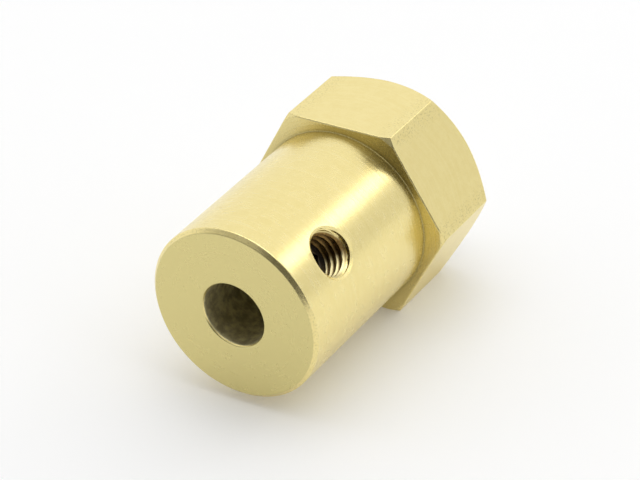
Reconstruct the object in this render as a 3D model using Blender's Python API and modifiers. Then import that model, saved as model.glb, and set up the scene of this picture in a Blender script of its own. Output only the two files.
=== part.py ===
"""Rigid sleeve coupling: joins a 4 mm motor shaft to a wheel with a 12 mm hexagon socket.

One brass body is turned and milled from hexagon bar: a round sleeve bored for the shaft,
and a hexagon that drives the wheel and is tapped for the wheel's screw. A cup-point set
screw in the sleeve's wall grips the shaft. A pan-head screw with a washer closes the
hexagon end, where it holds the wheel on.

Frame: metres, +Z up. The shaft's axis runs along Y, with the sleeve's end face at -Y and
the hexagon's end face at +Y. The coupling lies on one flat of the hexagon, and the middle
of that flat is the origin.

Threads are left out: a tapped hole has its tap drill's diameter, and a screw's shank has
its thread's core diameter.
"""
import math

import bmesh
import bpy
from mathutils import Matrix, Vector

MM = 0.001

# Hexagon, with its end face turned back to the circle that fits inside the flats.
HEX_ACROSS_FLATS = 12.0 * MM
HEX_LENGTH = 6.0 * MM
END_FACE_INSET = 0.05 * MM
END_CHAMFER_ANGLE = math.radians(45.0)
SHOULDER_CORNER_CHAMFER = 0.2 * MM
SHOULDER_CHAMFER_ANGLE = math.radians(30.0)

# Sleeve and its bore, which stops in the sleeve at the tap drill's cone.
SLEEVE_DIAMETER = 11.0 * MM
SLEEVE_LENGTH = 12.0 * MM
SLEEVE_RIM_CHAMFER = 0.25 * MM
BORE_DIAMETER = 4.0 * MM
BORE_DEPTH = 10.0 * MM
BORE_MOUTH_CHAMFER = 0.2 * MM
DRILL_POINT_ANGLE = math.radians(118.0)

# M3 set screw, one millimetre and a half across its socket. Its hole is drilled across the
# sleeve, turned from straight up towards +X.
SET_TAP_DRILL = 2.5 * MM
SET_MOUTH_DIAMETER = 3.25 * MM
SET_HOLE_FROM_END = 3.9 * MM
SET_HOLE_ANGLE = math.radians(54.0)
SET_SCREW_LENGTH = 2.0 * MM
SET_SOCKET_ACROSS_FLATS = 1.5 * MM
SET_SOCKET_DEPTH = 1.1 * MM
SET_TOP_CHAMFER = 0.15 * MM
SET_TIP_CHAMFER = 0.35 * MM
SET_CUP_DEPTH = 0.25 * MM
SHAFT_FLAT_DEPTH = 0.5 * MM

# M4 wheel screw and its washer.
WHEEL_TAP_DRILL = 3.3 * MM
WHEEL_MOUTH_DIAMETER = 4.2 * MM
WHEEL_SCREW_LENGTH = 8.0 * MM
WHEEL_HEAD_DIAMETER = 7.0 * MM
WHEEL_HEAD_HEIGHT = 2.6 * MM
WHEEL_HEAD_SIDE = 0.9 * MM
WHEEL_HEAD_FULLNESS = 0.7
WHEEL_TIP_CHAMFER = 0.4 * MM
RECESS_LENGTH = 4.0 * MM
RECESS_WIDTH = 0.9 * MM
RECESS_DEPTH = 1.9 * MM
RECESS_TAPER = 0.5
WASHER_DIAMETER = 8.0 * MM
WASHER_THICKNESS = 0.5 * MM

# Room between pieces.
THREAD_CLEARANCE = 0.1 * MM
WASHER_CLEARANCE = 0.2 * MM
SEAT_GAP = 0.1 * MM

SLEEVE_STEPS = 96
BORE_STEPS = 64
SCREW_STEPS = 48
HEAD_ARC_STEPS = 6

# Places along the shaft's axis, and its height over the flat that the coupling lies on.
AXIS_HEIGHT = HEX_ACROSS_FLATS / 2
HEX_END_Y = HEX_LENGTH / 2
SHOULDER_Y = HEX_END_Y - HEX_LENGTH
SLEEVE_END_Y = SHOULDER_Y - SLEEVE_LENGTH
BORE_END_Y = SLEEVE_END_Y + BORE_DEPTH
SET_HOLE_Y = SLEEVE_END_Y + SET_HOLE_FROM_END
WHEEL_CORE_RADIUS = WHEEL_TAP_DRILL / 2 - THREAD_CLEARANCE
OVERRUN = 1.0 * MM

ALONG_SHAFT = Matrix.Translation((0.0, 0.0, AXIS_HEIGHT)) @ Matrix.Rotation(math.radians(-90.0), 4, "X")
ALONG_SET_HOLE = (Matrix.Translation((0.0, SET_HOLE_Y, AXIS_HEIGHT))
                  @ Matrix.Rotation(SET_HOLE_ANGLE, 4, "Y"))


def start_empty():
    """Remove what the file holds, and return the collections for the parts and the cutters."""
    for obj in list(bpy.data.objects):
        bpy.data.objects.remove(obj, do_unlink=True)
    collections = []
    for name in ("sleeve_coupling", "cutters"):
        collection = bpy.data.collections.new(name)
        bpy.context.scene.collection.children.link(collection)
        collections.append(collection)
    return collections


def metal(name, colour, roughness):
    """A plain metal finish."""
    material = bpy.data.materials.new(name)
    material.use_nodes = True
    shader = material.node_tree.nodes["Principled BSDF"]
    shader.inputs["Base Color"].default_value = (*colour, 1.0)
    shader.inputs["Metallic"].default_value = 1.0
    shader.inputs["Roughness"].default_value = roughness
    return material


def place(name, mesh, collection, placement):
    """Put a mesh in the scene as an object."""
    obj = bpy.data.objects.new(name, mesh)
    obj.matrix_world = placement
    collection.objects.link(obj)
    return obj


def turned(name, profile, steps, collection, placement, closed=False):
    """A solid turned about local Z from (radius, height) points that run down its outer side."""
    points = [(radius, 0.0, height) for radius, height in profile]
    edges = [(index, index + 1) for index in range(len(points) - 1)]
    if closed:
        edges.append((len(points) - 1, 0))
    mesh = bpy.data.meshes.new(name)
    mesh.from_pydata(points, edges, [])
    obj = place(name, mesh, collection, placement)
    screw = obj.modifiers.new("turning", "SCREW")
    screw.axis = "Z"
    screw.steps = steps
    screw.render_steps = steps
    screw.use_merge_vertices = True
    screw.merge_threshold = 0.001 * MM
    return obj


def hexagon_bar(name, across_flats, low, high, collection, placement):
    """A hexagonal prism about local Z with a corner on local X."""
    shape = bmesh.new()
    corner_radius = across_flats / math.sqrt(3.0)
    bmesh.ops.create_cone(
        shape, cap_ends=True, segments=6, radius1=corner_radius, radius2=corner_radius,
        depth=high - low,
        matrix=Matrix.Translation((0.0, 0.0, (low + high) / 2)) @ Matrix.Rotation(math.radians(30.0), 4, "Z"))
    mesh = bpy.data.meshes.new(name)
    shape.to_mesh(mesh)
    shape.free()
    return place(name, mesh, collection, placement)


def recess_wing(name, top, collection, placement):
    """One of the two crossed wedges of a cross recess, narrowing downwards from its top."""
    shape = bmesh.new()
    bmesh.ops.create_cube(shape, size=1.0)
    for vertex in shape.verts:
        narrowing = RECESS_TAPER if vertex.co.z < 0 else 1.0
        vertex.co.x *= RECESS_LENGTH * narrowing
        vertex.co.y *= RECESS_WIDTH * (1.0 + narrowing) / 2
        vertex.co.z = top - RECESS_DEPTH if vertex.co.z < 0 else top + OVERRUN
    mesh = bpy.data.meshes.new(name)
    shape.to_mesh(mesh)
    shape.free()
    return place(name, mesh, collection, placement)


def combine(obj, operation, tool):
    """Join, cut or trim an object with another one, which is kept only as a guide."""
    tool.hide_render = True
    tool.display_type = "WIRE"
    boolean = obj.modifiers.new(f"{operation.lower()} {tool.name}", "BOOLEAN")
    boolean.operation = operation
    boolean.solver = "EXACT"
    boolean.object = tool


def finish(obj, material):
    """Fix the modifiers' result into the mesh, give it its metal and shade its round faces smooth."""
    mesh = bpy.data.meshes.new_from_object(obj.evaluated_get(bpy.context.evaluated_depsgraph_get()))
    obj.modifiers.clear()
    obj.data = mesh
    mesh.name = obj.name
    mesh.materials.clear()
    mesh.materials.append(material)
    mesh.shade_smooth()
    mesh.set_sharp_from_angle(angle=math.radians(30.0))


def make_body(parts, cutters):
    """The brass body: hexagon, sleeve, bore, wheel-screw hole and set-screw hole."""
    body = hexagon_bar("coupling_body", HEX_ACROSS_FLATS, SHOULDER_Y, HEX_END_Y, parts, ALONG_SHAFT)

    flat_radius = HEX_ACROSS_FLATS / 2
    corner_radius = HEX_ACROSS_FLATS / math.sqrt(3.0)
    end_radius = flat_radius - END_FACE_INSET
    clear_radius = corner_radius + OVERRUN
    shoulder_radius = corner_radius - SHOULDER_CORNER_CHAMFER / math.tan(SHOULDER_CHAMFER_ANGLE)
    end_slope = math.tan(END_CHAMFER_ANGLE)
    shoulder_slope = math.tan(SHOULDER_CHAMFER_ANGLE)
    corner_turning = turned("corner_turning", [
        (0.0, HEX_END_Y + OVERRUN),
        (end_radius - OVERRUN / end_slope, HEX_END_Y + OVERRUN),
        (clear_radius, HEX_END_Y - (clear_radius - end_radius) * end_slope),
        (clear_radius, SHOULDER_Y + (clear_radius - shoulder_radius) * shoulder_slope),
        (shoulder_radius - OVERRUN / shoulder_slope, SHOULDER_Y - OVERRUN),
        (0.0, SHOULDER_Y - OVERRUN),
    ], SLEEVE_STEPS, cutters, ALONG_SHAFT)
    combine(body, "INTERSECT", corner_turning)

    sleeve_radius = SLEEVE_DIAMETER / 2
    sleeve = turned("sleeve_turning", [
        (0.0, SHOULDER_Y + HEX_LENGTH / 2),
        (sleeve_radius, SHOULDER_Y + HEX_LENGTH / 2),
        (sleeve_radius, SLEEVE_END_Y + SLEEVE_RIM_CHAMFER),
        (sleeve_radius - SLEEVE_RIM_CHAMFER, SLEEVE_END_Y),
        (0.0, SLEEVE_END_Y),
    ], SLEEVE_STEPS, cutters, ALONG_SHAFT)
    combine(body, "UNION", sleeve)

    bore_radius = BORE_DIAMETER / 2
    tapped_radius = WHEEL_TAP_DRILL / 2
    mouth_radius = WHEEL_MOUTH_DIAMETER / 2
    drill_point = abs(bore_radius - tapped_radius) / math.tan(DRILL_POINT_ANGLE / 2)
    passage = turned("shaft_passage", [
        (0.0, HEX_END_Y + OVERRUN),
        (mouth_radius + OVERRUN, HEX_END_Y + OVERRUN),
        (tapped_radius, HEX_END_Y - (mouth_radius - tapped_radius)),
        (tapped_radius, BORE_END_Y + drill_point),
        (bore_radius, BORE_END_Y),
        (bore_radius, SLEEVE_END_Y + BORE_MOUTH_CHAMFER),
        (bore_radius + BORE_MOUTH_CHAMFER + OVERRUN, SLEEVE_END_Y - OVERRUN),
        (0.0, SLEEVE_END_Y - OVERRUN),
    ], BORE_STEPS, cutters, ALONG_SHAFT)
    combine(body, "DIFFERENCE", passage)

    set_radius = SET_TAP_DRILL / 2
    set_mouth_radius = SET_MOUTH_DIAMETER / 2
    set_hole = turned("set_screw_hole", [
        (0.0, sleeve_radius + OVERRUN),
        (set_mouth_radius + OVERRUN, sleeve_radius + OVERRUN),
        (set_radius, sleeve_radius - (set_mouth_radius - set_radius)),
        (set_radius, 0.0),
        (0.0, 0.0),
    ], SCREW_STEPS, cutters, ALONG_SET_HOLE)
    combine(body, "DIFFERENCE", set_hole)
    return body


def make_set_screw(parts, cutters):
    """The set screw, seated where the flat of a D-shaft in the bore would stop its tip."""
    core_radius = SET_TAP_DRILL / 2 - THREAD_CLEARANCE
    tip_height = BORE_DIAMETER / 2 - SHAFT_FLAT_DEPTH
    top_height = tip_height + SET_SCREW_LENGTH
    screw = turned("set_screw", [
        (0.0, top_height),
        (core_radius - SET_TOP_CHAMFER, top_height),
        (core_radius, top_height - SET_TOP_CHAMFER),
        (core_radius, tip_height + SET_TIP_CHAMFER),
        (core_radius - SET_TIP_CHAMFER, tip_height),
        (0.0, tip_height + SET_CUP_DEPTH),
    ], SCREW_STEPS, parts, ALONG_SET_HOLE)
    socket = hexagon_bar("set_screw_socket", SET_SOCKET_ACROSS_FLATS, top_height - SET_SOCKET_DEPTH,
                         top_height + OVERRUN, cutters, ALONG_SET_HOLE)
    combine(screw, "DIFFERENCE", socket)
    return screw


def make_wheel_washer(parts):
    """The washer under the wheel screw's head, against the hexagon's end face."""
    low = HEX_END_Y + SEAT_GAP
    high = low + WASHER_THICKNESS
    hole_radius = WHEEL_CORE_RADIUS + WASHER_CLEARANCE
    return turned("wheel_washer", [
        (hole_radius, high),
        (WASHER_DIAMETER / 2, high),
        (WASHER_DIAMETER / 2, low),
        (hole_radius, low),
    ], SCREW_STEPS, parts, ALONG_SHAFT, closed=True)


def make_wheel_screw(parts, cutters):
    """The pan-head wheel screw with its cross recess."""
    seat = HEX_END_Y + SEAT_GAP + WASHER_THICKNESS + SEAT_GAP
    head_radius = WHEEL_HEAD_DIAMETER / 2
    dome_height = WHEEL_HEAD_HEIGHT - WHEEL_HEAD_SIDE
    dome = []
    for step in range(HEAD_ARC_STEPS + 1):
        turn = math.radians(90.0) * (1.0 - step / HEAD_ARC_STEPS)
        outward = abs(math.cos(turn)) ** WHEEL_HEAD_FULLNESS
        upward = abs(math.sin(turn)) ** WHEEL_HEAD_FULLNESS
        dome.append((head_radius * outward, seat + WHEEL_HEAD_SIDE + dome_height * upward))
    dome[0] = (0.0, seat + WHEEL_HEAD_HEIGHT)
    screw = turned("wheel_screw", dome + [
        (head_radius, seat),
        (WHEEL_CORE_RADIUS, seat),
        (WHEEL_CORE_RADIUS, seat - WHEEL_SCREW_LENGTH + WHEEL_TIP_CHAMFER),
        (WHEEL_CORE_RADIUS - WHEEL_TIP_CHAMFER, seat - WHEEL_SCREW_LENGTH),
        (0.0, seat - WHEEL_SCREW_LENGTH),
    ], SCREW_STEPS, parts, ALONG_SHAFT)
    for name, turn in (("recess_wing_long", 0.0), ("recess_wing_cross", 90.0)):
        wing = recess_wing(name, seat + WHEEL_HEAD_HEIGHT, cutters,
                           ALONG_SHAFT @ Matrix.Rotation(math.radians(turn), 4, "Z"))
        combine(screw, "DIFFERENCE", wing)
    return screw


def main():
    parts, cutters = start_empty()
    brass = metal("brass", (0.78, 0.66, 0.34), 0.3)
    black_steel = metal("black_steel", (0.06, 0.06, 0.065), 0.4)
    plated_steel = metal("plated_steel", (0.62, 0.62, 0.6), 0.28)
    finish(make_body(parts, cutters), brass)
    finish(make_set_screw(parts, cutters), black_steel)
    finish(make_wheel_washer(parts), plated_steel)
    finish(make_wheel_screw(parts, cutters), plated_steel)


main()
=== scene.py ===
"""Finished surfaces and studio for the sleeve coupling.

The brass body is lofted round its shaft axis and cut by threaded taps. The set screw, the
wheel screw and its washer are made round the same axes as their plain CAD solids.
Lengths are in metres, and in millimetres in the finishes. Angles round the shaft's axis count
from straight up towards +X.
"""
import math

import bmesh
import bpy
from mathutils import Matrix, Vector


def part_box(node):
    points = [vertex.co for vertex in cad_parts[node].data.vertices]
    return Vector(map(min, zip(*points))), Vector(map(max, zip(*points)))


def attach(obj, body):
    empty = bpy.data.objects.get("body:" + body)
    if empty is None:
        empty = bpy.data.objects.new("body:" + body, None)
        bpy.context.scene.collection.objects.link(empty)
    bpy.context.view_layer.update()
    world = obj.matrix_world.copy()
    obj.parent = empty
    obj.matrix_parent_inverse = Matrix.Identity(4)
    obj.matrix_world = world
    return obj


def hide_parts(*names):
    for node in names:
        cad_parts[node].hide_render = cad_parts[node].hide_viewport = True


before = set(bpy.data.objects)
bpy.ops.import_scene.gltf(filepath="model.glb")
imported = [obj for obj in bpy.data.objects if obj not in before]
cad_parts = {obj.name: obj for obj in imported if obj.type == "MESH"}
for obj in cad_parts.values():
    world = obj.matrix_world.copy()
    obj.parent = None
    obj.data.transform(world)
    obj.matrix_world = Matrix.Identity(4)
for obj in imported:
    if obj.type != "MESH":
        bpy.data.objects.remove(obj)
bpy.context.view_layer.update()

MM = 0.001

# Places along the shaft's axis, from the frame.
body_low, body_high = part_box("coupling_body")
AXIS_HEIGHT = (body_low.z + body_high.z) / 2
SLEEVE_END = body_low.y
HEX_END = body_high.y
WASHER_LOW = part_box("wheel_washer")[0].y
WASHER_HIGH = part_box("wheel_washer")[1].y
HEAD_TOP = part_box("wheel_screw")[1].y
WHEEL_SCREW_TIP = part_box("wheel_screw")[0].y

# The body's own sizes.
FLAT_RADIUS = AXIS_HEIGHT - body_low.z
RIDGE_ROUNDING = 0.08 * MM
END_FACE_INSET = 0.05 * MM
END_FACE_RADIUS = FLAT_RADIUS - END_FACE_INSET
SLEEVE_LENGTH = 12.0 * MM
SHOULDER = SLEEVE_END + SLEEVE_LENGTH
SHOULDER_CORNER_RADIUS = 6.58 * MM
SHOULDER_CORNER_ANGLE = math.radians(30.0)
EDGE_BREAK = 0.06 * MM
SLEEVE_RADIUS = 5.5 * MM
RIM_CHAMFER = 0.25 * MM
ROOT_ROUNDING = 0.05 * MM
BORE_RADIUS = 2.0 * MM
BORE_DEPTH = 10.0 * MM
BORE_MOUTH_WIDTH = 0.09 * MM
BORE_MOUTH_DEPTH = 0.15 * MM
DRILL_CONE = 0.3 * MM

# How far the corners of an outline are rounded, from the softest to the sharpest.
EDGE_ROUNDING = 0.06 * MM
FINE_ROUNDING = 0.04 * MM
SHARP_ROUNDING = 0.03 * MM
CREASE_ROUNDING = 0.02 * MM

# Threads: the M3 set screw across the sleeve, and the M4 wheel screw along the shaft's axis.
SET_HOLE_FROM_END = 3.9 * MM
SET_HOLE_ANGLE = math.radians(54.0)
SET_PITCH = 0.5 * MM
SET_TAP = (1.25 * MM, 1.52 * MM)
SET_THREAD = (1.19 * MM, 1.47 * MM)
SET_SPAN = (1.5 * MM, 3.5 * MM)
SET_MOUTH_RADIUS = 1.44 * MM
SET_MOUTH_DEPTH = 0.40 * MM
SET_MOUTH_BREAK = 0.18 * MM
SET_MOUTH_INSIDE = 0.1 * MM
SET_MOUTH_DRAFT = 0.02 * MM
SET_MOUTH_CONE = 0.2 * MM
SET_BREAK_SLOPE = 0.45
SET_TAP_SPAN = (0.9 * MM, 6.1 * MM)
WHEEL_PITCH = 0.7 * MM
WHEEL_TAP = (1.65 * MM, 2.03 * MM)
WHEEL_THREAD = (1.57 * MM, 1.96 * MM)
WHEEL_PILOT = 1.5 * MM
WHEEL_MOUTH_RADIUS = 2.1 * MM
WHEEL_TAP_DEPTH = 7.9 * MM
WHEEL_TAP_OVERRUN = 0.5 * MM

# Edges that turn by more degrees than this are shaded sharp.
SHARP_ANGLE = 28.0
HEAD_SHARP_ANGLE = 32.0

# The shares of a pitch that are flat at the root and at the crest, and an end with no cone.
TAP_SHARES = (0.25, 0.125)
SCREW_SHARES = (0.183, 0.125)
NO_CONE = 1.0

# Set screw.
SOCKET_ACROSS_FLATS = 1.5 * MM
SOCKET_DEPTH = 1.1 * MM
SOCKET_OVERRUN = 0.5 * MM
SOCKET_LEAD_RADII = (0.7 * MM, 0.98 * MM)
SOCKET_LEAD_SPAN = (-0.12 * MM, 0.16 * MM)
CUP_RADII = (0.8 * MM, 0.1 * MM)
CUP_SPAN = (-0.05 * MM, 0.25 * MM)
SET_TIP_RADIUS = 0.85 * MM
SET_TOP_RADIUS = 1.2 * MM

# Washer and wheel screw.
WASHER_HOLE_RADIUS = 1.75 * MM
WASHER_RADIUS = 4.0 * MM
SEAT_GAP = 0.1 * MM
HEAD_RADIUS = 3.5 * MM
HEAD_SIDE = 0.9 * MM
HEAD_FULLNESS = 0.7
HEAD_ARC_STEPS = 10
NECK_RADIUS = 1.6 * MM
NECK_LENGTH = 1.3 * MM
SHANK_TOP = 1.0 * MM
SHANK_TIP_RADIUS = 1.3 * MM
RECESS_TOP = (4.3 * MM, 0.98 * MM)
RECESS_BOTTOM = (1.9 * MM, 0.62 * MM)
RECESS_DEPTH = 1.9 * MM
RECESS_OVERRUN = 0.3 * MM
RECESS_ROUNDING = 0.06 * MM
RECESS_MIDDLE_RADII = (0.1 * MM, 1.0 * MM)
RECESS_MIDDLE_SPAN = (-2.1 * MM, -0.3 * MM)
POLE_RADIUS = 0.002 * MM

ALONG_SHAFT = Matrix.Translation((0.0, 0.0, AXIS_HEIGHT)) @ Matrix.Rotation(math.radians(-90.0), 4, "X")
ALONG_SET_HOLE = (Matrix.Translation((0.0, SLEEVE_END + SET_HOLE_FROM_END, AXIS_HEIGHT))
                  @ Matrix.Rotation(SET_HOLE_ANGLE, 4, "Y"))


class Link:
    """A node's output. Arithmetic on links adds the Math nodes that work it out."""

    def __init__(self, graph, socket):
        self.graph = graph
        self.socket = socket

    def math(self, operation, *values):
        return self.graph.node("ShaderNodeMath", {"operation": operation}, dict(enumerate((self, *values))))

    def other(self, name):
        return Link(self.graph, self.socket.node.outputs[name])

    def __add__(self, value):
        return self.math("ADD", value)

    __radd__ = __add__

    def __sub__(self, value):
        return self.math("SUBTRACT", value)

    def __rsub__(self, value):
        return self.math("MULTIPLY_ADD", -1.0, value)

    def __mul__(self, value):
        return self.math("MULTIPLY", value)

    __rmul__ = __mul__

    def __truediv__(self, value):
        return self.math("DIVIDE", value)

    def __gt__(self, value):
        return self.math("GREATER_THAN", value)

    def __lt__(self, value):
        return self.math("LESS_THAN", value)

    def __abs__(self):
        return self.math("ABSOLUTE")

    def root(self):
        return self.math("SQRT")

    def fraction(self):
        return self.math("FRACT")

    def at_least(self, value):
        return self.math("MAXIMUM", value)

    def at_most(self, value):
        return self.math("MINIMUM", value)

    def rise(self, low, high):
        """A smooth step from 0 at low to 1 at high."""
        return self.graph.node("ShaderNodeMapRange", {"interpolation_type": "SMOOTHSTEP"},
                               {"Value": self, "From Min": low, "From Max": high})


class Graph:
    """A node tree that nodes are added to by their type."""

    def __init__(self, tree):
        self.tree = tree

    def node(self, kind, settings=None, sockets=None, output=0):
        made = self.tree.nodes.new(kind)
        for name, value in (settings or {}).items():
            setattr(made, name, value)
        for key, value in (sockets or {}).items():
            if isinstance(value, Link):
                self.tree.links.new(value.socket, made.inputs[key])
            else:
                made.inputs[key].default_value = value
        return Link(self, made.outputs[output]) if made.outputs else made

    def mix(self, factor, first, second):
        """A colour between two colours."""
        return self.node("ShaderNodeMix", {"data_type": "RGBA"}, {0: factor, 6: first, 7: second}, output=2)

    def noise(self, vector, scale, detail=2.0, roughness=0.5):
        """Noise from 0 to 1 over a vector, with its scale in features per metre."""
        return self.node("ShaderNodeTexNoise", None,
                         {"Vector": vector, "Scale": scale, "Detail": detail, "Roughness": roughness})

    def lines(self, along, scale, detail=2.0, roughness=0.5):
        """Noise from 0 to 1 along one number, which draws lines across it."""
        return self.node("ShaderNodeTexNoise", {"noise_dimensions": "1D"},
                         {"W": along, "Scale": scale, "Detail": detail, "Roughness": roughness})


# ---------------------------------------------------------------- shapes

# Steps round a softened corner, the most that its sides are held straight beyond it, and the
# distances under which points are merged.
ARC_STEPS = 4
HOLD = 0.03 * MM
MERGE_DISTANCE = 1e-7
SLIVER = 0.0005 * MM


def softened(corners):
    """The points of a closed outline whose corners are (radius, along, rounding, points to the next)."""
    spots = [Vector((radius, along)) for radius, along, _, _ in corners]
    groups = []
    for index, (_, _, rounding, _) in enumerate(corners):
        here = spots[index]
        back = spots[index - 1] - here
        ahead = spots[(index + 1) % len(spots)] - here
        reach = min(rounding, 0.4 * back.length, 0.4 * ahead.length)
        hold = min(HOLD, 0.08 * back.length, 0.08 * ahead.length)
        start = here + back.normalized() * reach
        end = here + ahead.normalized() * reach
        arc = []
        for step in range(ARC_STEPS + 1):
            share = step / ARC_STEPS
            arc.append(start.lerp(here, share).lerp(here.lerp(end, share), share))
        groups.append([start + back.normalized() * hold, *arc, end + ahead.normalized() * hold])
    points = []
    for index, group in enumerate(groups):
        points.extend(group)
        following = groups[(index + 1) % len(groups)][0]
        between = corners[index][3]
        for step in range(between):
            points.append(group[-1].lerp(following, (step + 1) / (between + 1)))
    return points


def lofted(name, metal, section, angles, placement, round_angle=30.0):
    """A ring-shaped solid about local Z, whose closed (radius, along) outline is section(angle)."""
    shape = bmesh.new()
    rings = []
    for angle in angles:
        turn = Vector((math.sin(angle), -math.cos(angle)))
        rings.append([shape.verts.new((radius * turn.x, radius * turn.y, along))
                      for radius, along in section(angle)])
    for ring, following in zip(rings, rings[1:] + rings[:1]):
        count = len(ring)
        for index in range(count):
            after = (index + 1) % count
            shape.faces.new((ring[index], ring[after], following[after], following[index]))
    bmesh.ops.remove_doubles(shape, verts=shape.verts, dist=MERGE_DISTANCE)
    return solid(name, metal, shape, placement, round_angle)


def solid(name, metal, shape, placement, round_angle=30.0):
    """An object in the scene from a bmesh, with its place in its mesh and its faces outwards."""
    bmesh.ops.transform(shape, matrix=placement, verts=shape.verts)
    bmesh.ops.recalc_face_normals(shape, faces=shape.faces)
    mesh = bpy.data.meshes.new(name)
    shape.to_mesh(mesh)
    shape.free()
    mesh.materials.append(metal)
    mesh.shade_smooth()
    mesh.set_sharp_from_angle(angle=math.radians(round_angle))
    piece = bpy.data.objects.new(name, mesh)
    bpy.context.scene.collection.objects.link(piece)
    return piece


def smoothed(piece, sharp_angle):
    """Shade a piece smooth, apart from edges that turn by more than an angle in degrees."""
    piece.data.shade_smooth()
    piece.data.set_sharp_from_angle(angle=math.radians(sharp_angle))
    return piece


def fixed(piece):
    """Replace a piece's mesh by what its modifiers make of it."""
    mesh = bpy.data.meshes.new_from_object(piece.evaluated_get(bpy.context.evaluated_depsgraph_get()))
    piece.modifiers.clear()
    piece.data = mesh


def combined(piece, operation, *tools):
    """Join or cut a piece with other solids, which are then removed."""
    for tool in tools:
        boolean = piece.modifiers.new(tool.name, "BOOLEAN")
        boolean.operation = operation
        boolean.solver = "EXACT"
        boolean.object = tool
    fixed(piece)
    for tool in tools:
        bpy.data.objects.remove(tool, do_unlink=True)
    shape = bmesh.new()
    shape.from_mesh(piece.data)
    bmesh.ops.remove_doubles(shape, verts=shape.verts, dist=SLIVER)
    bmesh.ops.dissolve_degenerate(shape, edges=shape.edges, dist=SLIVER)
    bmesh.ops.triangulate(shape, faces=[face for face in shape.faces if len(face.verts) > 4])
    bmesh.ops.dissolve_degenerate(shape, edges=shape.edges, dist=SLIVER)
    shape.to_mesh(piece.data)
    shape.free()
    return piece


def even_angles(count):
    return [math.tau * index / count for index in range(count)]


def turned(name, metal, corners, placement, count=96, round_angle=30.0):
    """A ring or a solid with the same outline at every angle."""
    outline = softened(corners)
    return lofted(name, metal, lambda angle: outline, even_angles(count), placement, round_angle)


def threaded_rod_tree():
    """Geometry nodes for a solid rod about local Z with a right-hand thread and a cone at each end.

    The thread's crests pass local X at whole pitches from the origin, so a screw and its
    tapped hole that are made about the same origin lie in mesh.
    """
    tree = bpy.data.node_groups.new("threaded_rod", "GeometryNodeTree")
    sockets = (
        ("Geometry", "NodeSocketGeometry"), ("Start", "NodeSocketFloat"), ("End", "NodeSocketFloat"),
        ("Pitch", "NodeSocketFloat"), ("Root Radius", "NodeSocketFloat"), ("Crest Radius", "NodeSocketFloat"),
        ("Root Share", "NodeSocketFloat"), ("Crest Share", "NodeSocketFloat"),
        ("Start Radius", "NodeSocketFloat"), ("End Radius", "NodeSocketFloat"),
        ("Columns", "NodeSocketInt"), ("Rows", "NodeSocketInt"), ("Metal", "NodeSocketMaterial"),
    )
    for name, kind in sockets:
        tree.interface.new_socket(name, in_out="INPUT", socket_type=kind)
    tree.interface.new_socket("Geometry", in_out="OUTPUT", socket_type="NodeSocketGeometry")
    graph = Graph(tree)
    given = graph.node("NodeGroupInput")

    # A unit grid: its columns go round the rod, its rows along it. The first and last rows close the ends.
    grid = graph.node("GeometryNodeMeshGrid", None, {
        "Size X": 1.0, "Size Y": 1.0,
        "Vertices X": given.other("Columns") + 1, "Vertices Y": given.other("Rows") + 3})
    place = graph.node("ShaderNodeSeparateXYZ", None, {0: graph.node("GeometryNodeInputPosition")})
    turn = place.other("X") + 0.5
    row = (place.other("Y") + 0.5) * (given.other("Rows") + 2)
    share = ((row - 1) / given.other("Rows")).at_least(0.0).at_most(1.0)
    height = given.other("Start") + share * (given.other("End") - given.other("Start"))

    # From 0 at a root's middle to 1 at a crest's middle, flattened at both.
    wave = abs((height / given.other("Pitch") - turn).fraction() * 2 - 1)
    flank = 1 - given.other("Root Share") - given.other("Crest Share")
    rise = ((wave - given.other("Root Share")) / flank).at_least(0.0).at_most(1.0)
    radius = given.other("Root Radius") + rise * (given.other("Crest Radius") - given.other("Root Radius"))
    radius = radius.at_most(given.other("Start Radius") + (height - given.other("Start")))
    radius = radius.at_most(given.other("End Radius") + (given.other("End") - height))
    between = (row > 0.5) * (row < given.other("Rows") + 1.5)
    radius = radius * between

    angle = turn * math.tau
    spot = graph.node("ShaderNodeCombineXYZ", None, {
        "X": radius * angle.math("COSINE"), "Y": radius * angle.math("SINE"), "Z": height})
    rod = graph.node("GeometryNodeSetPosition", None, {"Geometry": grid, "Position": spot})
    rod = graph.node("GeometryNodeMergeByDistance", None, {"Geometry": rod, "Distance": MERGE_DISTANCE})
    rod = graph.node("GeometryNodeRealizeInstances", None, {"Geometry": rod})
    rod = graph.node("GeometryNodeSetMaterial", None, {"Geometry": rod, "Material": given.other("Metal")})
    graph.node("NodeGroupOutput", None, {"Geometry": rod})
    return tree


ROD_COLUMNS = 72
ROD_ROWS_PER_PITCH = 14


def threaded_rod(name, metal, placement, span, pitch, radii, shares, start_radius, end_radius):
    """A plain mesh of the threaded rod over a span of its axis."""
    holder = bpy.data.objects.new(name, bpy.data.meshes.new(name))
    bpy.context.scene.collection.objects.link(holder)
    nodes = holder.modifiers.new("thread", "NODES")
    nodes.node_group = ROD_TREE
    sizes = {
        "Start": span[0], "End": span[1], "Pitch": pitch, "Root Radius": radii[0], "Crest Radius": radii[1],
        "Root Share": shares[0], "Crest Share": shares[1], "Start Radius": start_radius,
        "End Radius": end_radius, "Columns": ROD_COLUMNS,
        "Rows": round((span[1] - span[0]) / pitch * ROD_ROWS_PER_PITCH), "Metal": metal,
    }
    for item in ROD_TREE.interface.items_tree:
        if item.in_out == "INPUT" and item.name in sizes:
            nodes[item.identifier] = sizes[item.name]
    holder.update_tag()
    fixed(holder)
    holder.data.transform(placement)
    return holder


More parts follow.
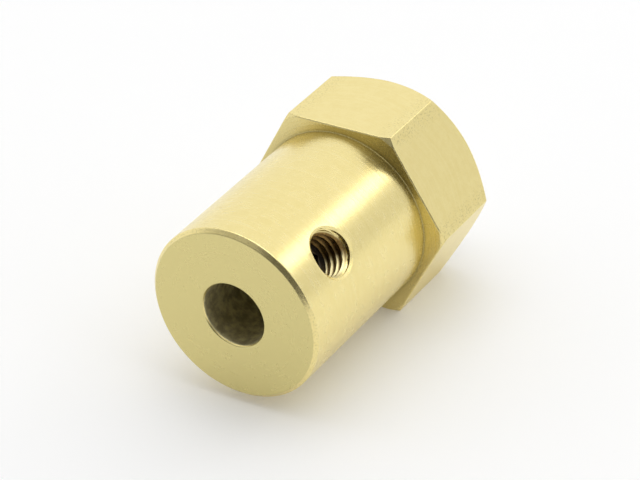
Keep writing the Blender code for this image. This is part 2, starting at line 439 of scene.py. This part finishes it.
def hex_radius(angle):
    """The hexagon bar's radius at an angle, with its ridges rounded."""
    off_flat = abs((math.degrees(angle) + 30.0) % 60.0 - 30.0)
    off_flat = math.radians(off_flat)
    half_side = math.radians(30.0)
    arc_start = math.atan((FLAT_RADIUS - RIDGE_ROUNDING) * math.tan(half_side) / FLAT_RADIUS)
    if off_flat < arc_start:
        return FLAT_RADIUS / math.cos(off_flat)
    off_ridge = half_side - off_flat
    centre = (FLAT_RADIUS - RIDGE_ROUNDING) / math.cos(half_side)
    sideways = centre * math.sin(off_ridge)
    return centre * math.cos(off_ridge) + math.sqrt(max(RIDGE_ROUNDING ** 2 - sideways ** 2, 0.0))


def ridge_angles(half_count):
    """Angles round the body that crowd together at the hexagon's ridges."""
    angles = []
    for sector in range(6):
        for step in range(2 * half_count):
            share = math.sin((step / half_count - 1.0) * math.pi / 2)
            angles.append(math.radians(60.0 * sector + 30.0 * share))
    return angles


def body_section(angle):
    """The body's outline at one angle, from the bore over the sleeve and the flat to the tapped hole."""
    flat = hex_radius(angle)
    shoulder_edge = min(flat - EDGE_BREAK, SHOULDER_CORNER_RADIUS)
    corner_drop = max(EDGE_BREAK, (flat - SHOULDER_CORNER_RADIUS) * math.tan(SHOULDER_CORNER_ANGLE))
    return softened((
        (WHEEL_PILOT, SLEEVE_END + BORE_DEPTH + DRILL_CONE, FINE_ROUNDING, 4),
        (BORE_RADIUS, SLEEVE_END + BORE_DEPTH, FINE_ROUNDING, 16),
        (BORE_RADIUS, SLEEVE_END + BORE_MOUTH_DEPTH, FINE_ROUNDING, 0),
        (BORE_RADIUS + BORE_MOUTH_WIDTH, SLEEVE_END, FINE_ROUNDING, 6),
        (SLEEVE_RADIUS - RIM_CHAMFER, SLEEVE_END, EDGE_ROUNDING, 1),
        (SLEEVE_RADIUS, SLEEVE_END + RIM_CHAMFER, EDGE_ROUNDING, 24),
        (SLEEVE_RADIUS, SHOULDER, ROOT_ROUNDING, 2),
        (shoulder_edge, SHOULDER, SHARP_ROUNDING, 1),
        (flat, SHOULDER + corner_drop, FINE_ROUNDING, 10),
        (flat, HEX_END - (flat - END_FACE_RADIUS), EDGE_ROUNDING, 5),
        (END_FACE_RADIUS, HEX_END, EDGE_ROUNDING, 6),
        (WHEEL_MOUTH_RADIUS, HEX_END, SHARP_ROUNDING, 2),
        (WHEEL_PILOT, HEX_END - (WHEEL_MOUTH_RADIUS - WHEEL_PILOT), CREASE_ROUNDING, 2),
    ))


def mouth_section(angle):
    """The set-screw hole's plain mouth with its broken edge, following the sleeve's round."""
    across = math.sin(angle)

    def height(radius):
        return math.sqrt(SLEEVE_RADIUS ** 2 - (radius * across) ** 2)

    inner = SET_TAP[0] - SET_MOUTH_INSIDE
    rim = SET_MOUTH_RADIUS + SET_MOUTH_BREAK
    rise = SET_BREAK_SLOPE * SET_MOUTH_BREAK
    return (
        (inner, height(SET_MOUTH_RADIUS) - SET_MOUTH_DEPTH - SET_MOUTH_CONE),
        (SET_MOUTH_RADIUS - SET_MOUTH_DRAFT, height(SET_MOUTH_RADIUS) - SET_MOUTH_DEPTH),
        (SET_MOUTH_RADIUS, height(rim) - rise),
        (rim + 2 * SET_MOUTH_BREAK, height(rim) + 2 * rise),
        (inner, height(rim) + 2 * rise),
    )


def make_body(metal):
    """The brass body, cut by its two threaded taps and the mouth of the set-screw hole."""
    body = lofted("brass_body", metal, body_section, ridge_angles(24), ALONG_SHAFT)
    set_tap = threaded_rod("set_tap", metal, ALONG_SET_HOLE, SET_TAP_SPAN, SET_PITCH, SET_TAP,
                           TAP_SHARES, NO_CONE, NO_CONE)
    wheel_span = (HEX_END - WHEEL_TAP_DEPTH, HEX_END + WHEEL_TAP_OVERRUN)
    wheel_tap = threaded_rod("wheel_tap", metal, ALONG_SHAFT, wheel_span, WHEEL_PITCH, WHEEL_TAP,
                             TAP_SHARES, WHEEL_TAP[0], NO_CONE)
    mouth = lofted("set_mouth", metal, mouth_section, even_angles(96), ALONG_SET_HOLE)
    return smoothed(combined(body, "DIFFERENCE", set_tap, mouth, wheel_tap), SHARP_ANGLE)


def hexagon_key(name, metal, across_flats, low, high, placement):
    """A hexagonal prism about local Z, for a socket."""
    shape = bmesh.new()
    radius = across_flats / math.sqrt(3.0)
    bmesh.ops.create_cone(shape, cap_ends=True, segments=6, radius1=radius, radius2=radius, depth=high - low,
                          matrix=Matrix.Translation((0.0, 0.0, (low + high) / 2)))
    return solid(name, metal, shape, placement)


def cone(name, metal, low_radius, high_radius, low, high, placement):
    """A plain cone about local Z."""
    shape = bmesh.new()
    bmesh.ops.create_cone(shape, cap_ends=True, segments=48, radius1=low_radius, radius2=high_radius,
                          depth=high - low, matrix=Matrix.Translation((0.0, 0.0, (low + high) / 2)))
    return solid(name, metal, shape, placement)


def make_set_screw(metal):
    """The set screw, with its hexagon socket, the socket's lead and the cup point."""
    low, high = SET_SPAN
    screw = threaded_rod("set_screw_m3", metal, ALONG_SET_HOLE, SET_SPAN, SET_PITCH, SET_THREAD,
                         SCREW_SHARES, SET_TIP_RADIUS, SET_TOP_RADIUS)
    socket = hexagon_key("socket", metal, SOCKET_ACROSS_FLATS, high - SOCKET_DEPTH,
                         high + SOCKET_OVERRUN, ALONG_SET_HOLE)
    socket_lead = cone("socket_lead", metal, *SOCKET_LEAD_RADII, high + SOCKET_LEAD_SPAN[0],
                       high + SOCKET_LEAD_SPAN[1], ALONG_SET_HOLE)
    cup = cone("cup", metal, *CUP_RADII, low + CUP_SPAN[0], low + CUP_SPAN[1], ALONG_SET_HOLE)
    return smoothed(combined(screw, "DIFFERENCE", socket, socket_lead, cup), SHARP_ANGLE)


def make_washer(metal):
    """The washer, pressed rounder at its outer upper edge than at its lower one."""
    return turned("plain_washer", metal, (
        (WASHER_HOLE_RADIUS, WASHER_HIGH, 0.05 * MM, 3),
        (WASHER_RADIUS, WASHER_HIGH, 0.09 * MM, 1),
        (WASHER_RADIUS, WASHER_LOW, 0.04 * MM, 3),
        (WASHER_HOLE_RADIUS, WASHER_LOW, 0.05 * MM, 1),
    ), ALONG_SHAFT)


def recess_wing(name, metal, turn):
    """One of the two tapered wings of the cross recess."""
    shape = bmesh.new()
    bmesh.ops.create_cube(shape, size=1.0)
    for vertex in shape.verts:
        deep = vertex.co.z < 0
        length, width = RECESS_BOTTOM if deep else RECESS_TOP
        vertex.co.x *= length
        vertex.co.y *= width
        vertex.co.z = HEAD_TOP - RECESS_DEPTH if deep else HEAD_TOP + RECESS_OVERRUN
    bmesh.ops.bevel(shape, geom=[edge for edge in shape.edges], offset=RECESS_ROUNDING, segments=2,
                    affect="EDGES", profile=0.5)
    return solid(name, metal, shape, ALONG_SHAFT @ Matrix.Rotation(turn, 4, "Z"))


def make_wheel_screw(metal):
    """The wheel screw: a domed head with a cross recess, a plain neck and a threaded shank."""
    seat = WASHER_HIGH + SEAT_GAP
    dome = []
    for step in range(HEAD_ARC_STEPS + 1):
        turn = math.radians(90.0) * (1.0 - step / HEAD_ARC_STEPS)
        outward = abs(math.cos(turn)) ** HEAD_FULLNESS * HEAD_RADIUS
        upward = abs(math.sin(turn)) ** HEAD_FULLNESS * (HEAD_TOP - seat - HEAD_SIDE)
        dome.append((max(outward, POLE_RADIUS), seat + HEAD_SIDE + upward, CREASE_ROUNDING, 0))
    head = turned("pan_head_screw", metal, (
        *dome,
        (HEAD_RADIUS, seat, 0.12 * MM, 2),
        (NECK_RADIUS, seat, 0.1 * MM, 3),
        (NECK_RADIUS, seat - NECK_LENGTH, CREASE_ROUNDING, 0),
        (POLE_RADIUS, seat - NECK_LENGTH, 0.0, 8),
    ), ALONG_SHAFT, round_angle=40.0)
    shank = threaded_rod("shank", metal, ALONG_SHAFT, (WHEEL_SCREW_TIP, seat - SHANK_TOP), WHEEL_PITCH,
                         WHEEL_THREAD, SCREW_SHARES, SHANK_TIP_RADIUS, NECK_RADIUS)
    combined(head, "UNION", shank)
    wings = [recess_wing("wing_a", metal, 0.0), recess_wing("wing_b", metal, math.radians(90.0))]
    recess_middle = cone("recess_middle", metal, *RECESS_MIDDLE_RADII, HEAD_TOP + RECESS_MIDDLE_SPAN[0],
                         HEAD_TOP + RECESS_MIDDLE_SPAN[1], ALONG_SHAFT)
    return smoothed(combined(head, "DIFFERENCE", *wings, recess_middle), HEAD_SHARP_ANGLE)


# ---------------------------------------------------------------- finishes

# Brass where it is clean, from its deeper to its paler tone; its grain and nicks; and darker tones on the end
# face, the shoulder and its corner, which are painted shade.
BRASS_DEEP = (0.86, 0.725, 0.315, 1.0)
BRASS_PALE = (0.90, 0.775, 0.37, 1.0)
BRASS_GRAIN = (0.80, 0.67, 0.30, 1.0)
BRASS_END_FACE_SHADE = (0.69, 0.60, 0.265, 1.0)
BRASS_SHOULDER_SHADE = (0.64, 0.54, 0.24, 1.0)
BRASS_CORNER_SHADE = (0.34, 0.28, 0.11, 1.0)
BRASS_NICK = (0.47, 0.39, 0.17, 1.0)

# Darker, mottled brass in the bore, a stain with painted shade; painted shade in the set-screw hole; and a
# painted highlight on one side of that hole's thread.
BORE_STAIN_AND_SHADE_DARK = (0.52, 0.46, 0.27, 1.0)
BORE_STAIN_AND_SHADE_PALE = (0.80, 0.74, 0.46, 1.0)
HOLE_SHADE_DARK = (0.17, 0.10, 0.032, 1.0)
HOLE_SHADE_PALE = (0.32, 0.20, 0.065, 1.0)
CREST_HIGHLIGHT = (0.88, 0.77, 0.42, 1.0)

BLACK_OXIDE = (0.12, 0.10, 0.08, 1.0)
BLACK_OXIDE_WORN = (0.24, 0.21, 0.165, 1.0)
ZINC_COOL = (0.56, 0.565, 0.57, 1.0)
ZINC_WARM = (0.62, 0.615, 0.595, 1.0)


def new_metal(name):
    """A material with an empty tree, and the graph that its nodes are added to."""
    material = bpy.data.materials.new(name)
    material.use_nodes = True
    material.node_tree.nodes.clear()
    return material, Graph(material.node_tree)


def finish_metal(graph, colour, roughness, height, depth):
    """Join colour, roughness and surface height to a metal shader."""
    bump = graph.node("ShaderNodeBump", None, {"Strength": 1.0, "Distance": depth, "Height": height})
    shader = graph.node("ShaderNodeBsdfPrincipled", None, {
        "Base Color": colour, "Roughness": roughness, "Metallic": 1.0, "Normal": bump})
    graph.node("ShaderNodeOutputMaterial", None, {"Surface": shader})


def axis_places(graph):
    """Object coordinates in millimetres from the shaft's axis, and the distances along and from it."""
    coordinates = graph.node("ShaderNodeTexCoord").other("Object")
    place = graph.node("ShaderNodeVectorMath", {"operation": "MULTIPLY_ADD"},
                       {0: coordinates, 1: (1000.0,) * 3, 2: (0.0, 0.0, -AXIS_HEIGHT / MM)})
    parts = graph.node("ShaderNodeSeparateXYZ", None, {0: place})
    across = parts.other("X")
    along = parts.other("Y")
    up = parts.other("Z")
    return place, along, (across * across + up * up).root()


def brass_finish():
    """Satin brass: turning marks on the round faces, drawn streaks on the flats, stains and painted shade in
    the holes, painted shade on the end face and the shoulder, and a painted highlight on the set-screw hole's
    thread.
    """
    material, graph = new_metal("satin_brass")
    place, along, radius = axis_places(graph)
    shoulder = SHOULDER / MM
    hex_end = HEX_END / MM

    # Masks: inside the set-screw hole, inside the bore, and on the flats of the hexagon.
    parts = graph.node("ShaderNodeSeparateXYZ", None, {0: place})
    hole_x = parts.other("X") * math.cos(SET_HOLE_ANGLE) - parts.other("Z") * math.sin(SET_HOLE_ANGLE)
    hole_y = along - (SLEEVE_END + SET_HOLE_FROM_END) / MM
    hole_radius = (hole_x * hole_x + hole_y * hole_y).root()
    in_hole = (1 - hole_radius.rise(1.54, 1.56)) * (1 - radius.rise(5.02, 5.12)) * radius.rise(2.0, 2.2)
    in_bore = 1 - radius.rise(2.01, 2.04)
    chamfer = END_FACE_RADIUS / MM + hex_end
    on_bar = (along.rise(shoulder + 0.05, shoulder + 0.12)
              * radius.rise(END_FACE_RADIUS / MM - 0.02, FLAT_RADIUS / MM)
              * (1 - (radius + along).rise(chamfer - 0.07, chamfer - 0.02)))

    # Turning marks: lines from coarse to fine that go round the sleeve and across the end faces.
    turning = graph.lines(along + radius * 1.37, 3.0, 4.0, 0.8)

    # Bar stock: long streaks along the axis and a soft mottle.
    streaks = graph.noise(graph.node("ShaderNodeMapping", None, {"Vector": place, "Scale": (7.0, 0.45, 7.0)}),
                          1.0, 3.0, 0.6)
    mottle = graph.noise(place, 1.9, 4.0, 0.6)
    grain = graph.noise(place, 9.0, 3.0, 0.55)
    bar = streaks * 0.9 + grain * 0.5

    tone = mottle.rise(0.3, 0.7) * 0.6 + turning.rise(0.35, 0.65) * 0.4
    clean = graph.mix(tone, BRASS_DEEP, BRASS_PALE)
    # The end face is painted darker than the sleeve all over: painted shade.
    end_face_shade = 1 - along.rise(SLEEVE_END / MM + 0.02, SLEEVE_END / MM + 0.06)
    clean = graph.mix(end_face_shade, clean, BRASS_END_FACE_SHADE)

    # Painted shade: the shoulder is painted darker than the sleeve, and darkest in the corner between them.
    step = along.rise(shoulder - 0.1, shoulder - 0.01) * (1 - along.rise(shoulder + 0.01, shoulder + 0.05))
    step = step * radius.rise(5.4, 5.5)
    clean = graph.mix(step * (1 - radius.rise(5.5, 6.5) * 0.5), clean, BRASS_SHOULDER_SHADE)
    # The darkest painted shade, in the corner where the shoulder meets the sleeve.
    clean = graph.mix(step * (1 - radius.rise(5.5, 5.75)) * 0.6, clean, BRASS_CORNER_SHADE)
    clean = graph.mix(on_bar * grain.rise(0.45, 0.8) * 0.35, clean, BRASS_GRAIN)

    # Small nicks: on the hexagon's ridges and on the sleeve's rim.
    ridge = radius.rise(6.35, 6.75)
    rim = radius.rise(5.2, 5.3) * (1 - along.rise(SLEEVE_END / MM + 0.24, SLEEVE_END / MM + 0.4))
    nicks = (ridge + rim).at_most(1.0) * grain.rise(0.5, 0.72) * 0.5
    clean = graph.mix(nicks, clean, BRASS_NICK)

    # In the holes, painted shade. A painted highlight lies on the thread's crests on the lower side of the
    # set-screw hole.
    # Darker brass in the bore: a mottled stain, darkened further as painted shade.
    bore_stain_and_shade = graph.mix(mottle.rise(0.35, 0.65), BORE_STAIN_AND_SHADE_DARK, BORE_STAIN_AND_SHADE_PALE)
    # Painted shade inside the set-screw hole: dark brown brass, varied by the grain.
    hole_shade_and_highlight = graph.mix(grain.rise(0.3, 0.7), HOLE_SHADE_DARK, HOLE_SHADE_PALE)
    # A painted highlight on the crests of the set-screw hole's thread, on one side only.
    crest_highlight_mask = (1 - hole_radius.rise(1.32, 1.42)) * hole_x.rise(0.25, 0.85)
    hole_shade_and_highlight = graph.mix(crest_highlight_mask, hole_shade_and_highlight, CREST_HIGHLIGHT)
    colour = graph.mix(in_bore, graph.mix(in_hole, clean, hole_shade_and_highlight), bore_stain_and_shade)

    roughness = 0.21 + mottle * 0.07 + turning * 0.04 + on_bar * 0.05 + in_hole * 0.1 + in_bore * 0.35
    height = turning * (1 - on_bar) * 1.6 + bar * on_bar + mottle * 0.3
    finish_metal(graph, colour, roughness, height, 0.007 * MM)
    return material


def black_steel_finish():
    """Black oxide on the set screw, worn lighter in small patches."""
    material, graph = new_metal("black_oxide")
    place, _, _ = axis_places(graph)
    grain = graph.noise(place, 14.0, 4.0, 0.6)
    wear = graph.noise(place, 3.5, 3.0, 0.6)
    colour = graph.mix(wear.rise(0.55, 0.75), BLACK_OXIDE, BLACK_OXIDE_WORN)
    finish_metal(graph, colour, 0.36 + grain * 0.14, grain, 0.004 * MM)
    return material


def plated_steel_finish():
    """Bright zinc plate, pressed in rings about the screw's axis."""
    material, graph = new_metal("zinc_plate")
    place, along, radius = axis_places(graph)
    rings = graph.lines(radius + along * 1.3, 9.0, 3.0, 0.6)
    cloud = graph.noise(place, 1.4, 3.0, 0.6)
    grain = graph.noise(place, 12.0, 3.0, 0.6)
    colour = graph.mix(cloud.rise(0.3, 0.7), ZINC_COOL, ZINC_WARM)
    finish_metal(graph, colour, 0.22 + cloud * 0.1 + grain * 0.05, rings * 0.6 + grain * 0.4, 0.003 * MM)
    return material


# ---------------------------------------------------------------- studio

AIM = Vector((3.56, -10.97, 9.72)) * MM
CAMERA_DISTANCE = 155.0 * MM
CAMERA_AZIMUTH = math.radians(33.93)
CAMERA_ELEVATION = math.radians(32.18)
CAMERA_ROLL = math.radians(4.28)
LENS = 155.85
SENSOR_WIDTH = 36.0
NEAREST_SEEN = 0.01
TENT = 1.0
# Patches lighter or darker than the tent: towards, the degrees from there at which each begins
# and is full, and its brightness.
TENT_PATCHES = (
    ((0.0, -0.25, 1.0), 40.0, 28.0, 2.6),
    ((-0.1, -0.75, 0.62), 60.0, 30.0, 0.5),
    ((0.53, -0.71, 0.38), 42.0, 27.0, 0.13),
    ((0.72, 0.66, 0.10), 28.0, 12.0, 0.8),
)
# The lamp behind the object that draws the streak along the sleeve.
LAMP_TOWARDS = Vector((0.443, 0.702, 0.558))
LAMP_DISTANCE = 0.4
LAMP_SIZE = 0.10
LAMP_POWER = 0.06
FLOOR_SIZE = 3.0
FLOOR_GAP = 0.01 * MM
FLOOR_COLOUR = (0.88, 0.88, 0.88, 1.0)
FLOOR_ROUGHNESS = 0.6
FLOOR_GLOW = 0.12


def direction(azimuth, elevation):
    """The unit vector from the object towards an azimuth, 0 being in front, and an elevation."""
    return Vector((math.sin(azimuth) * math.cos(elevation), -math.cos(azimuth) * math.cos(elevation),
                   math.sin(elevation)))


def make_camera():
    camera = bpy.data.objects.new("camera", bpy.data.cameras.new("camera"))
    camera.data.lens = LENS
    camera.data.sensor_width = SENSOR_WIDTH
    camera.data.clip_start = NEAREST_SEEN
    back = direction(CAMERA_AZIMUTH, CAMERA_ELEVATION)
    turn = back.to_track_quat("Z", "Y").to_matrix().to_4x4() @ Matrix.Rotation(-CAMERA_ROLL, 4, "Z")
    camera.matrix_world = Matrix.Translation(AIM + back * CAMERA_DISTANCE) @ turn
    bpy.context.scene.collection.objects.link(camera)
    bpy.context.scene.camera = camera


def make_floor():
    """A plain pale floor that the lower flat stands on."""
    bpy.ops.mesh.primitive_plane_add(size=FLOOR_SIZE, location=(0.0, 0.0, body_low.z - FLOOR_GAP))
    floor = bpy.context.object
    floor.name = "floor"
    material = bpy.data.materials.new("pale_floor")
    material.use_nodes = True
    shader = material.node_tree.nodes["Principled BSDF"]
    shader.inputs["Base Color"].default_value = FLOOR_COLOUR
    shader.inputs["Roughness"].default_value = FLOOR_ROUGHNESS
    shader.inputs["Emission Color"].default_value = (1.0, 1.0, 1.0, 1.0)
    shader.inputs["Emission Strength"].default_value = FLOOR_GLOW
    floor.data.materials.append(material)


def round_lamp(name, towards, distance, size, power):
    """A round lamp that shines on the object."""
    lamp = bpy.data.objects.new(name, bpy.data.lights.new(name, "AREA"))
    lamp.data.shape = "DISK"
    lamp.data.size = size
    lamp.data.energy = power
    lamp.location = AIM + towards * distance
    lamp.rotation_euler = towards.to_track_quat("Z", "Y").to_euler()
    bpy.context.scene.collection.objects.link(lamp)


def make_lights():
    """The white tent with its patches, and the lamp."""
    world = bpy.data.worlds.new("tent")
    world.use_nodes = True
    world.node_tree.nodes.clear()
    graph = Graph(world.node_tree)
    towards = graph.node("ShaderNodeTexCoord").other("Object")
    shade = TENT
    for centre, wide, narrow, level in TENT_PATCHES:
        near = graph.node("ShaderNodeVectorMath", {"operation": "DOT_PRODUCT"},
                          {0: towards, 1: tuple(Vector(centre).normalized())}, output="Value")
        near = near.rise(math.cos(math.radians(wide)), math.cos(math.radians(narrow)))
        shade = near * (level - shade) + shade
    graph.node("ShaderNodeOutputWorld", None, {
        "Surface": graph.node("ShaderNodeBackground", None, {"Color": (1.0,) * 4, "Strength": shade})})
    bpy.context.scene.world = world
    round_lamp("streak_lamp", LAMP_TOWARDS, LAMP_DISTANCE, LAMP_SIZE, LAMP_POWER)
    bpy.context.scene.view_settings.view_transform = "Standard"


make_camera()
make_floor()
make_lights()

ROD_TREE = threaded_rod_tree()
brass = brass_finish()
black_steel = black_steel_finish()
plated_steel = plated_steel_finish()

for piece, node, body, slot in (
        (make_body(brass), "coupling_body", "coupling", "brass"),
        (make_set_screw(black_steel), "set_screw", "set_screw", "black_steel"),
        (make_washer(plated_steel), "wheel_washer", "wheel_washer", "plated_steel"),
        (make_wheel_screw(plated_steel), "wheel_screw", "wheel_screw", "plated_steel")):
    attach(piece, body)
    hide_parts(node)
